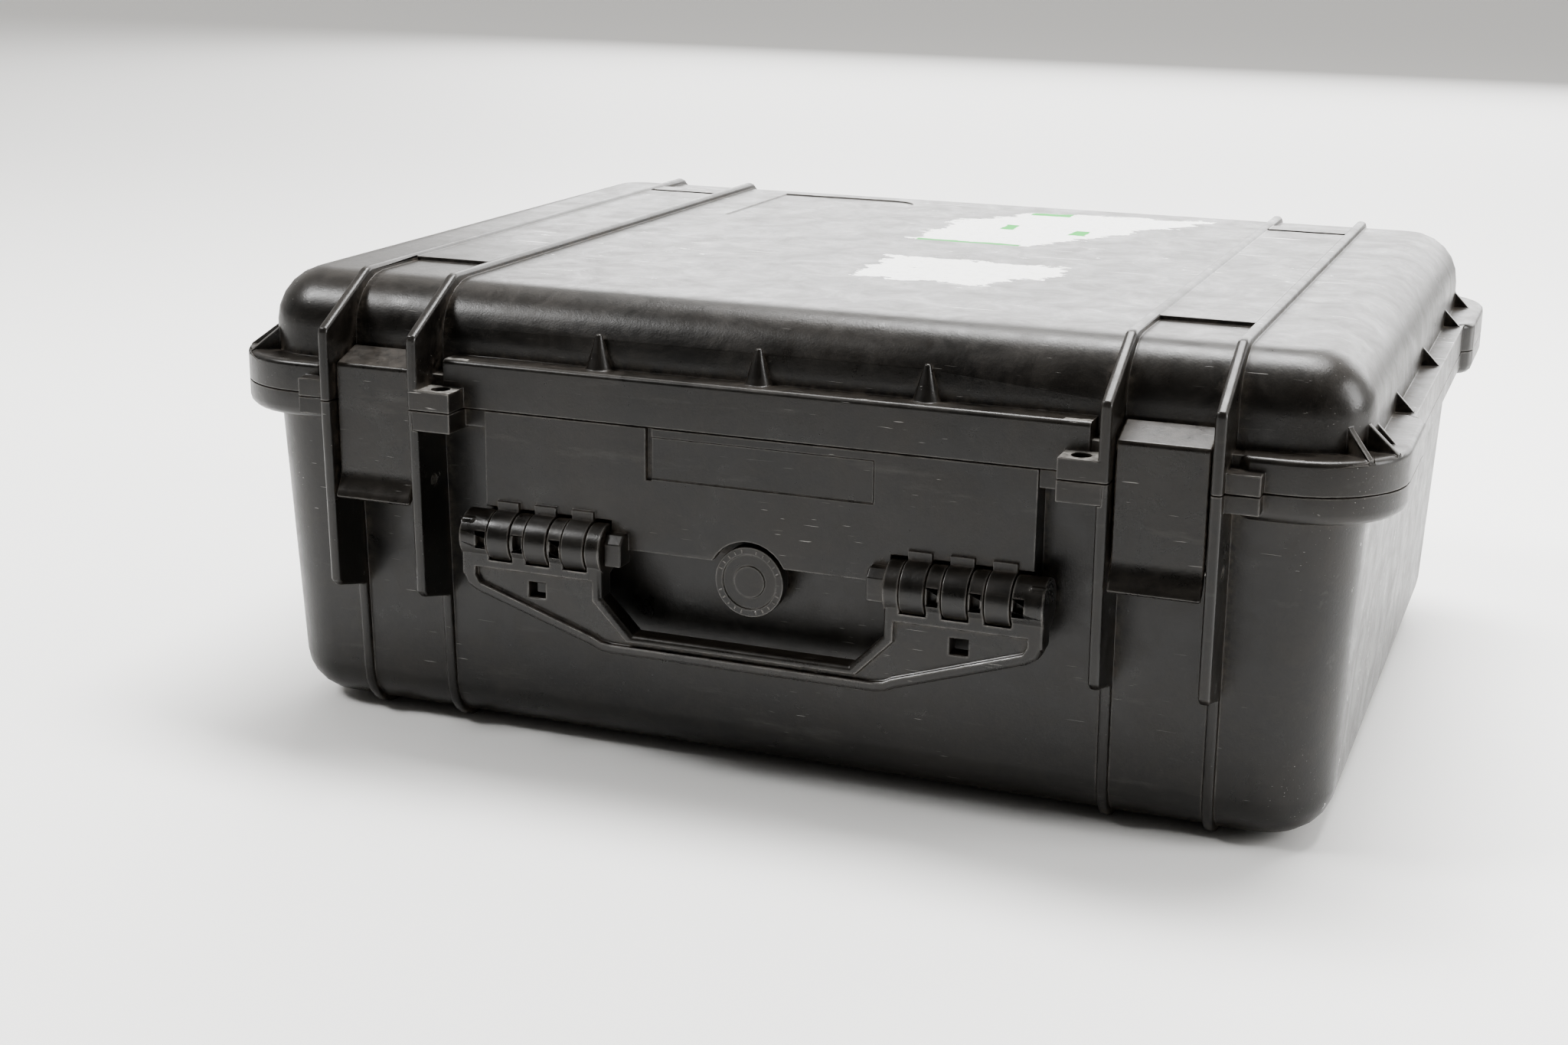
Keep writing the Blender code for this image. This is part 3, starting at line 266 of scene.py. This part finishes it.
def mouldedPlastic(name, finish, extra=None):
    material, tree, shader = startMaterial(name)
    place = objectPlace(tree)
    cloud = noiseAt(tree, place, *finish["cloud"])
    speckle = noiseAt(tree, place, *finish["speckle"])
    rubbed = streaks(tree, place, *finish["rubbing"])
    smudge = noiseAt(tree, place, *finish["smudge"])
    colour = mixColour(tree, ramp(tree, cloud, 0.42, 0.70, 0.0, 0.7), finish["base"], finish["faded"])
    colour = mixColour(tree, ramp(tree, smudge, 0.46, 0.66, 0.0, 0.75), colour, finish["faded"])
    colour = mixColour(tree, ramp(tree, rubbed, 0.60, 0.80, 0.0, 0.16), colour, finish["worn"])
    upward = ramp(tree, facing(tree), 0.25, 0.92)
    clear = openness(tree, finish["creviceReach"])
    crevice = product(tree, ramp(tree, clear, 0.82, 0.40), ramp(tree, speckle, 0.38, 0.62))
    # settled dust on upward faces; for the latches it is thickened into a painted sheen on the hood tops
    film = product(tree, upward, ramp(tree, speckle, 0.30, 0.72, 0.03, finish["film"]))
    dustAndPaintedSheen = mathOf(tree, "MAXIMUM", product(tree, crevice, finish["dustAmount"]), film)
    # the pale colour laid over crevice dust and over the top film, which on the latches is partly painted
    # sheen
    colour = mixColour(tree, dustAndPaintedSheen, colour, finish["dustAndPaintedSheen"])
    broken = ramp(tree, noiseAt(tree, place, *finish["broken"]), 0.30, 0.56)
    reachable = ramp(tree, clear, 0.55, 0.92, 0.0, finish["wear"])
    worn = product(tree, edgeMask(tree, finish["edge"]), broken, reachable)
    colour = mixColour(tree, worn, colour, finish["worn"])
    scratches = scratchMask(tree, place, finish["scratches"])
    colour = mixColour(tree, product(tree, scratches, finish["scratchAmount"]), colour, finish["scratch"])
    rough = ramp(tree, smudge, 0.32, 0.70, finish["roughness"] - 0.05, finish["roughness"] + 0.13)
    rough = mathOf(tree, "ADD", rough, product(tree, dustAndPaintedSheen, finish["dustRoughness"]))
    rough = mathOf(tree, "SUBTRACT", rough, product(tree, worn, finish["wornSmoothness"]))
    waves = product(tree, noiseAt(tree, place, *finish["waves"]), finish["waveHeight"])
    height = mathOf(tree, "ADD", noiseAt(tree, place, *finish["grain"]), waves)
    height = mathOf(tree, "SUBTRACT", height, product(tree, scratches, finish["scratchDepth"]))
    if extra is not None:
        colour, rough = extra(tree, place, colour, rough)
    bump = addNode(tree, "Bump", (("Height", height), ("Distance", finish["grainDepth"]), ("Strength", 0.8)))
    tree.links.new(colour, shader.inputs["Base Color"])
    tree.links.new(rough, shader.inputs["Roughness"])
    tree.links.new(bump.outputs["Normal"], shader.inputs["Normal"])
    return material


residue = {
    "paper": (0.92, 0.92, 0.90, 1.0),
    "grime": (0.55, 0.53, 0.49, 1.0),
    "ink": (0.05, 0.42, 0.08, 1.0),
    "rubbed": (0.30, 0.29, 0.27, 1.0),
    "patches": (
        # each edge: a point on it, and the direction that points inside
        (
            ((0.0, 0.027), (0.0, 1.0)),
            ((0.058, 0.029), (-0.886, 0.463)),
            ((0.0, 0.151), (0.0, -1.0)),
            ((-0.004, 0.0), (1.0, 0.0)),
            ((-0.005, 0.100), (0.84, -0.543)),
        ),
        (
            ((0.0, -0.091), (0.0, 1.0)),
            ((0.0, -0.026), (0.0, -1.0)),
            ((0.001, 0.0), (1.0, 0.0)),
            ((0.088, 0.0), (-1.0, 0.0)),
            ((0.060, -0.090), (-0.747, 0.664)),
        ),
    ),
    # where the printed border and two bits of print are left: low corner, high corner
    "printed": (
        ((-0.004, 0.020), (0.050, 0.0325)),
        ((0.026, 0.136), (0.048, 0.160)),
        ((0.024, 0.079), (0.032, 0.097)),
        ((0.062, 0.074), (0.071, 0.091)),
    ),
    # the tops of the two padlock lugs, rubbed pale: low corner, high corner
    "lugs": (((-0.151, -0.2165), (-0.1325, -0.199)), ((0.1325, -0.2165), (0.151, -0.199))),
    "ragged": 0.048,
    "cleanEdge": 0.16,  # how much of the raggedness a cut edge has
    "tearWidth": 0.0006,
    "paperRoughness": 0.85,
    "speckle": (340.0, 4.0, 0.6),
    "torn": ((0, 0, 20), (42.0, 75.0, 40.0), 8.0, 0.72),
    "holes": ((0, 0, 30), (70.0, 190.0, 60.0), 6.0, 0.7),
    "lines": ((0, 0, 4), (16.0, 620.0, 60.0), 2.0, 0.5),
    "bits": ((0, 0, 12), (90.0, 260.0, 90.0), 5.0, 0.7),
    "patchy": (13.0, 3.0, 0.5),
    # from front to back, where thin scratches and small bits lie round the labels
    "band": (((0.0, -0.150), (0.0, 1.0)), ((0.0, 0.160), (0.0, -1.0))),
    "bandAmount": 0.8,
}


def insideEdges(tree, place, edges, push):
    # 1 inside a straight-sided patch whose edges are torn by the push
    inside = None
    for (x, y), (alongX, alongY) in edges:
        reach = dotOf(tree, place, (alongX, alongY, 0.0))
        depth = mathOf(tree, "SUBTRACT", reach, x * alongX + y * alongY)
        side = ramp(tree, mathOf(tree, "ADD", depth, push), 0.0, residue["tearWidth"])
        inside = side if inside is None else mathOf(tree, "MINIMUM", inside, side)
    return inside


def boxEdges(low, high):
    return (low, (0.0, 1.0)), (low, (1.0, 0.0)), (high, (0.0, -1.0)), (high, (-1.0, 0.0))


def paperResidue(tree, place, colour, rough):
    upward = ramp(tree, facing(tree), 0.9, 0.98)
    torn = streaks(tree, place, *residue["torn"])
    push = product(tree, mathOf(tree, "SUBTRACT", torn, 0.52), residue["ragged"])
    holes = ramp(tree, streaks(tree, place, *residue["holes"]), 0.30, 0.33)
    grime = noiseAt(tree, place, *residue["speckle"])
    paper = mixColour(tree, ramp(tree, grime, 0.5, 0.75, 0.0, 0.35), residue["paper"], residue["grime"])
    tight = product(tree, push, residue["cleanEdge"])
    for low, high in residue["printed"]:
        paper = mixColour(tree, insideEdges(tree, place, boxEdges(low, high), tight), paper, residue["ink"])
    for number, edges in enumerate(residue["patches"]):
        if number == 0:
            # this label's first edge is a cut one, still straight
            clean = insideEdges(tree, place, edges[:1], tight)
            area = mathOf(tree, "MINIMUM", insideEdges(tree, place, edges[1:], push), clean)
        else:
            area = insideEdges(tree, place, edges, push)
        amount = product(tree, area, holes, upward)
        colour = mixColour(tree, amount, colour, paper)
        rough = mathOf(tree, "MAXIMUM", rough, product(tree, amount, residue["paperRoughness"]))
    for low, high in residue["lugs"]:
        lugTop = insideEdges(tree, place, boxEdges(low, high), tight)
        lugTop = product(tree, lugTop, upward, ramp(tree, grime, 0.35, 0.6, 0.25, 0.85))
        colour = mixColour(tree, lugTop, colour, residue["rubbed"])
    band = insideEdges(tree, place, residue["band"], 0.0)
    lines = streaks(tree, place, *residue["lines"])
    bits = streaks(tree, place, *residue["bits"])
    where = ramp(tree, noiseAt(tree, place, *residue["patchy"]), 0.47, 0.58)
    marks = mathOf(tree, "MAXIMUM", ramp(tree, lines, 0.712, 0.732), ramp(tree, bits, 0.665, 0.685))
    marks = product(tree, marks, where, band, upward, residue["bandAmount"])
    return mixColour(tree, marks, colour, residue["paper"]), rough


wallWear = {
    "chips": ((18, 0, 0), (60.0, 150.0, 85.0), 6.0, 0.72),
    "patchy": (12.0, 2.0),
}


def wallChips(tree, place, colour, rough):
    # white flecks where the right wall has been rubbed
    rightward = ramp(tree, facing(tree, "X"), 0.80, 0.95)
    chips = streaks(tree, place, *wallWear["chips"])
    where = ramp(tree, noiseAt(tree, place, *wallWear["patchy"]), 0.44, 0.58)
    amount = product(tree, ramp(tree, chips, 0.655, 0.675), where, rightward)
    return mixColour(tree, amount, colour, residue["paper"]), rough


def variant(finish, **changes):
    return {**finish, **changes}


baseBlack = mouldedPlastic("baseBlack", shellFinish, wallChips)
lidBlack = mouldedPlastic("lidBlack", shellFinish, paperResidue)
# the latches' thicker top film is partly dust and partly a painted sheen that lightens the hood tops in
# place of reflection
latchBlack = mouldedPlastic("latchBlack", variant(shellFinish, roughness=0.26, film=0.30))
handleBlack = mouldedPlastic("handleBlack", variant(shellFinish, roughness=0.26, wear=1.0, edge=0.0017))
knobBlack = mouldedPlastic("knobBlack", variant(shellFinish, roughness=0.28, wear=1.0))


pinFinish = {
    "bright": (0.55, 0.54, 0.52, 1.0),
    "tarnished": (0.30, 0.27, 0.24, 1.0),
    "drawn": ((0, 0, 0), (20.0, 1500.0, 1500.0), 3.0, 0.55),
    "cloud": (120.0, 4.0),
}


def pinSteel():
    material, tree, shader = startMaterial("pinSteel")
    place = objectPlace(tree)
    lines = streaks(tree, place, *pinFinish["drawn"])
    tarnish = noiseAt(tree, place, *pinFinish["cloud"])
    colour = mixColour(tree, ramp(tree, tarnish, 0.4, 0.7), pinFinish["bright"], pinFinish["tarnished"])
    tree.links.new(colour, shader.inputs["Base Color"])
    tree.links.new(ramp(tree, lines, 0.3, 0.7, 0.22, 0.42), shader.inputs["Roughness"])
    shader.inputs["Metallic"].default_value = 1.0
    return material


sealFinish = {
    "dark": (0.010, 0.010, 0.010, 1.0),
    "bloom": (0.045, 0.043, 0.040, 1.0),
    "cloud": (45.0, 5.0),
    "grain": (900.0, 2.0),
    "grainDepth": 0.00005,
}


def sealRubber():
    material, tree, shader = startMaterial("sealRubber")
    place = objectPlace(tree)
    bloom = noiseAt(tree, place, *sealFinish["cloud"])
    colour = mixColour(tree, ramp(tree, bloom, 0.4, 0.75), sealFinish["dark"], sealFinish["bloom"])
    grain = noiseAt(tree, place, *sealFinish["grain"])
    bump = addNode(tree, "Bump", (("Height", grain), ("Distance", sealFinish["grainDepth"])))
    tree.links.new(colour, shader.inputs["Base Color"])
    tree.links.new(ramp(tree, bloom, 0.3, 0.7, 0.55, 0.75), shader.inputs["Roughness"])
    tree.links.new(bump.outputs["Normal"], shader.inputs["Normal"])
    return material


foamFinish = {
    # the first two colours are painted shade inside the pores and painted light on their rims
    "dark": (0.020, 0.020, 0.022, 1.0),
    "paintedRimLight": (0.060, 0.060, 0.064, 1.0),
    "dusty": (0.075, 0.073, 0.072, 1.0),
    "cloud": (20.0, 4.0),
    "cells": 900.0,
    "cellDepth": 0.0006,
    "sheen": 0.25,
}


def openCellFoam():
    material, tree, shader = startMaterial("openCellFoam")
    place = objectPlace(tree)
    pores = addNode(tree, "TexVoronoi", (("Vector", place), ("Scale", foamFinish["cells"])))
    cells = pores.outputs["Distance"]
    drift = noiseAt(tree, place, *foamFinish["cloud"])
    # painted pore shade: darker where the bump is hollow, lighter on the ridges between pores
    colour = mixColour(tree, ramp(tree, cells, 0.05, 0.55), foamFinish["dark"], foamFinish["paintedRimLight"])
    colour = mixColour(tree, ramp(tree, drift, 0.4, 0.7, 0.0, 0.35), colour, foamFinish["dusty"])
    depth = foamFinish["cellDepth"]
    bump = addNode(tree, "Bump", (("Height", cells), ("Distance", depth), ("Strength", 0.9)))
    tree.links.new(colour, shader.inputs["Base Color"])
    tree.links.new(ramp(tree, drift, 0.3, 0.7, 0.88, 0.98), shader.inputs["Roughness"])
    tree.links.new(bump.outputs["Normal"], shader.inputs["Normal"])
    shader.inputs["Sheen Weight"].default_value = foamFinish["sheen"]
    return material


steel = pinSteel()
rubber = sealRubber()
foamGrey = openCellFoam()
print("finishes made")


meshing = {
    "mergeWithin": 0.00002,
    "flatWithin": 0.6,  # degrees
    "roundOver": 32.0,
    "smoothUnder": 34.0,
    "foamSmoothUnder": 40.0,
}


def activate(piece):
    bpy.ops.object.select_all(action="DESELECT")
    piece.select_set(True)
    bpy.context.view_layer.objects.active = piece


def applyAll(piece):
    activate(piece)
    for modifier in list(piece.modifiers):
        bpy.ops.object.modifier_apply(modifier=modifier.name)


def mergedCopy(node, name):
    # the part's mesh is loose triangles, so its copy is merged and its flat faces are made whole
    piece = bpy.data.objects.new(name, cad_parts[node].data.copy())
    bpy.context.scene.collection.objects.link(piece)
    activate(piece)
    bpy.ops.mesh.customdata_custom_splitnormals_clear()
    bpy.ops.object.mode_set(mode="EDIT")
    bpy.ops.mesh.select_all(action="SELECT")
    bpy.ops.mesh.remove_doubles(threshold=meshing["mergeWithin"])
    bpy.ops.mesh.dissolve_limited(angle_limit=radians(meshing["flatWithin"]))
    bpy.ops.object.mode_set(mode="OBJECT")
    return piece


def softEdges(piece, width, segments):
    bevel = piece.modifiers.new("softEdges", "BEVEL")
    bevel.width = width
    bevel.segments = segments
    bevel.limit_method = "ANGLE"
    bevel.angle_limit = radians(meshing["roundOver"])
    bevel.use_clamp_overlap = False
    bevel.loop_slide = False
    applyAll(piece)
    bpy.ops.object.shade_smooth_by_angle(angle=radians(meshing["smoothUnder"]))
    weigh = piece.modifiers.new("flatFaces", "WEIGHTED_NORMAL")
    weigh.keep_sharp = True
    applyAll(piece)


def keepInside(piece, node):
    # a wide rounding can push a corner just past the part, so it is brought back
    low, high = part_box(node)
    for vertex in piece.data.vertices:
        vertex.co = [min(max(value, least), most) for value, least, most in zip(vertex.co, low, high)]


def dress(piece, material, slot, body, *nodes):
    piece.data.materials.clear()
    piece.data.materials.append(material)
    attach(piece, body)
    if nodes:
        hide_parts(*nodes)


mouldings = (
    # part, new name, edge width, segments, material, slot, body
    ("base_shell", "baseMoulding", 0.0005, 2, baseBlack, "shell_plastic", "base"),
    ("lid_shell", "lidMoulding", 0.0005, 2, lidBlack, "shell_plastic", "lid"),
    ("handle", "handleMoulding", 0.00035, 1, handleBlack, "handle_plastic", "handle"),
    ("latch_lever_left", "leverLeft", 0.0004, 2, latchBlack, "latch_plastic", "latch_lever_left"),
    ("latch_lever_right", "leverRight", 0.0004, 2, latchBlack, "latch_plastic", "latch_lever_right"),
    ("latch_link_left", "linkLeft", 0.0005, 2, latchBlack, "latch_plastic", "latch_link_left"),
    ("latch_link_right", "linkRight", 0.0005, 2, latchBlack, "latch_plastic", "latch_link_right"),
    ("valve_knob", "knobMoulding", 0.0004, 2, knobBlack, "valve_plastic", "valve_knob"),
    ("lid_seal", "sealRing", 0.0012, 2, rubber, "seal_rubber", "lid"),
)
for node, name, width, segments, material, slot, body in mouldings:
    moulding = mergedCopy(node, name)
    softEdges(moulding, width, segments)
    keepInside(moulding, node)
    dress(moulding, material, slot, body, node)
    print("moulded", name, len(moulding.data.polygons), "faces")


knobMarks = {
    "ring": 0.0137,
    "count": 26,
    "skip": (0, 6, 7, 13, 19, 20),
    "size": (0.0008, 0.0006, 0.0017),
    "sunk": 0.0001,  # how far the middle of a mark lies under the knob's face
    "corner": 0.00018,
}


def addKnobMarks():
    # short raised marks in a ring round the knob's face, in four groups
    low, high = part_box("valve_knob")
    centre = ((low[0] + high[0]) / 2, low[1] + knobMarks["sunk"], (low[2] + high[2]) / 2)
    marks = []
    for step in range(knobMarks["count"]):
        if step in knobMarks["skip"]:
            continue
        turn = radians(step * 360 / knobMarks["count"])
        across, up = knobMarks["ring"] * sin(turn), knobMarks["ring"] * cos(turn)
        place = (centre[0] + across, centre[1], centre[2] + up)
        bpy.ops.mesh.primitive_cube_add(size=1.0, location=place, rotation=(0.0, turn, 0.0),
                                        scale=knobMarks["size"])
        mark = bpy.context.active_object
        bpy.ops.object.mode_set(mode="EDIT")
        bpy.ops.mesh.select_all(action="SELECT")
        bpy.ops.mesh.bevel(offset=knobMarks["corner"], segments=1)
        bpy.ops.object.mode_set(mode="OBJECT")
        bpy.ops.object.transform_apply(location=True, rotation=True, scale=True)
        marks.append(mark)
    bpy.ops.object.select_all(action="DESELECT")
    for mark in marks:
        mark.select_set(True)
    bpy.context.view_layer.objects.active = marks[0]
    bpy.ops.object.join()
    ring = bpy.context.active_object
    ring.name = "knobMarks"
    dress(ring, knobBlack, "valve_plastic", "valve_knob")
    print("knob marks", len(ring.data.polygons), "faces")


addKnobMarks()


foamCut = {
    "cell": 0.0127,
    "slit": 0.0006,
    "slitDepth": 0.003,
    "eggPitch": 0.040,
    "eggDepth": 0.010,
    "eggGrid": (150, 116),
    "padDent": 0.0007,
    "padGrid": (90, 70),
    "padWaves": (61.0, 47.0, 53.0),  # across, of the bend, along
    "padBend": 1.3,
    "skin": 0.0002,  # how far the worked face lies inside the part
    "spare": 0.004,  # how far a slab reaches past the part, before the cut
    "eggSpare": 0.006,
}


def baseFace(node, across, along, wide, deep, height):
    # a flat grid over the middle of the part
    low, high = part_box(node)
    centre = ((low[0] + high[0]) / 2, (low[1] + high[1]) / 2, height)
    bpy.ops.object.select_all(action="DESELECT")
    bpy.ops.mesh.primitive_grid_add(x_subdivisions=across, y_subdivisions=along, size=1.0, location=centre)
    slab = bpy.context.active_object
    slab.scale = (wide, deep, 1.0)
    bpy.ops.object.transform_apply(location=True, rotation=True, scale=True)
    return slab


def thicken(rise):
    # makes the active grid a closed block
    bpy.ops.object.mode_set(mode="EDIT")
    bpy.ops.mesh.select_all(action="SELECT")
    bpy.ops.mesh.extrude_region_move(TRANSFORM_OT_translate={"value": (0.0, 0.0, rise)})
    bpy.ops.mesh.select_all(action="SELECT")
    bpy.ops.mesh.normals_make_consistent(inside=False)
    bpy.ops.object.mode_set(mode="OBJECT")


def slabOver(node, grid, height, rise):
    low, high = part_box(node)
    wide = (high[0] - low[0]) + foamCut["spare"]
    deep = (high[1] - low[1]) + foamCut["spare"]
    slab = baseFace(node, *grid, wide, deep, height)
    thicken(rise)
    return slab


def cutToPart(slab, node, name):
    # keeps what the slab and the merged copy of the part have in common
    block = mergedCopy(node, name + "Block")
    activate(slab)
    common = slab.modifiers.new("common", "BOOLEAN")
    common.operation = "INTERSECT"
    common.solver = "EXACT"
    common.object = block
    applyAll(slab)
    bpy.data.objects.remove(block)
    slab.name = name
    slab.data.name = name
    activate(slab)
    bpy.ops.object.shade_smooth_by_angle(angle=radians(meshing["foamSmoothUnder"]))
    return slab


def pluckLayer(node, name):
    # a layer cut from above into square cells
    low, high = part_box(node)
    cell = foamCut["cell"]
    across = int((high[0] - low[0]) / cell / 2 + 2) * 2
    along = int((high[1] - low[1]) / cell / 2 + 2) * 2
    slab = baseFace(node, across, along, across * cell, along * cell, high[2] - foamCut["skin"])
    lines = len(slab.data.vertices)
    bpy.ops.object.mode_set(mode="EDIT")
    bpy.ops.mesh.select_all(action="SELECT")
    bpy.ops.mesh.inset(thickness=foamCut["slit"], use_individual=True)
    bpy.ops.object.mode_set(mode="OBJECT")
    for vertex in slab.data.vertices[:lines]:
        vertex.co.z -= foamCut["slitDepth"]
    thicken(low[2] - high[2] - foamCut["spare"])
    return cutToPart(slab, node, name)


def eggCratePad(node, name):
    low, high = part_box(node)
    rise = high[2] - low[2] + foamCut["eggSpare"]
    slab = slabOver(node, foamCut["eggGrid"], low[2] + foamCut["skin"], rise)
    turns = 2 * pi / foamCut["eggPitch"]
    for vertex in slab.data.vertices:
        if vertex.co.z < high[2]:
            wave = cos(vertex.co.x * turns) * cos(vertex.co.y * turns)
            vertex.co.z += foamCut["eggDepth"] * (0.5 - 0.5 * wave)
    return cutToPart(slab, node, name)


def dentedPad(node, name):
    low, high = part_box(node)
    rise = low[2] - high[2] - foamCut["spare"]
    slab = slabOver(node, foamCut["padGrid"], high[2] - foamCut["skin"], rise)
    across, bend, along = foamCut["padWaves"]
    for vertex in slab.data.vertices:
        if vertex.co.z > low[2]:
            shift = foamCut["padBend"] * cos(vertex.co.y * bend)
            wave = sin(vertex.co.x * across + shift) * cos(vertex.co.y * along)
            vertex.co.z -= foamCut["padDent"] * (0.5 + 0.5 * wave)
    return cutToPart(slab, node, name)


for maker, node, name, body in (
    (dentedPad, "foam_base_pad", "foamBasePad", "base"),
    (pluckLayer, "foam_lower_layer", "foamLowerLayer", "base"),
    (pluckLayer, "foam_upper_layer", "foamUpperLayer", "base"),
    (eggCratePad, "foam_lid_pad", "foamLidPad", "lid"),
):
    pad = maker(node, name)
    dress(pad, foamGrey, "foam", body, node)
    print("foam", name, len(pad.data.polygons), "faces")

keptParts = {
    steel: ("hinge_pin_left", "hinge_pin_right", "latch_base_pin_left", "latch_base_pin_right",
            "latch_lever_pin_left", "latch_lever_pin_right", "handle_pin_left", "handle_pin_right"),
    knobBlack: ("valve_body", "valve_nut"),
    rubber: ("valve_o_ring",),
}
for material, nodes in keptParts.items():
    for node in nodes:
        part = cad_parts[node]
        part.data.materials.clear()
        part.data.materials.append(material)
print("kept parts finished")
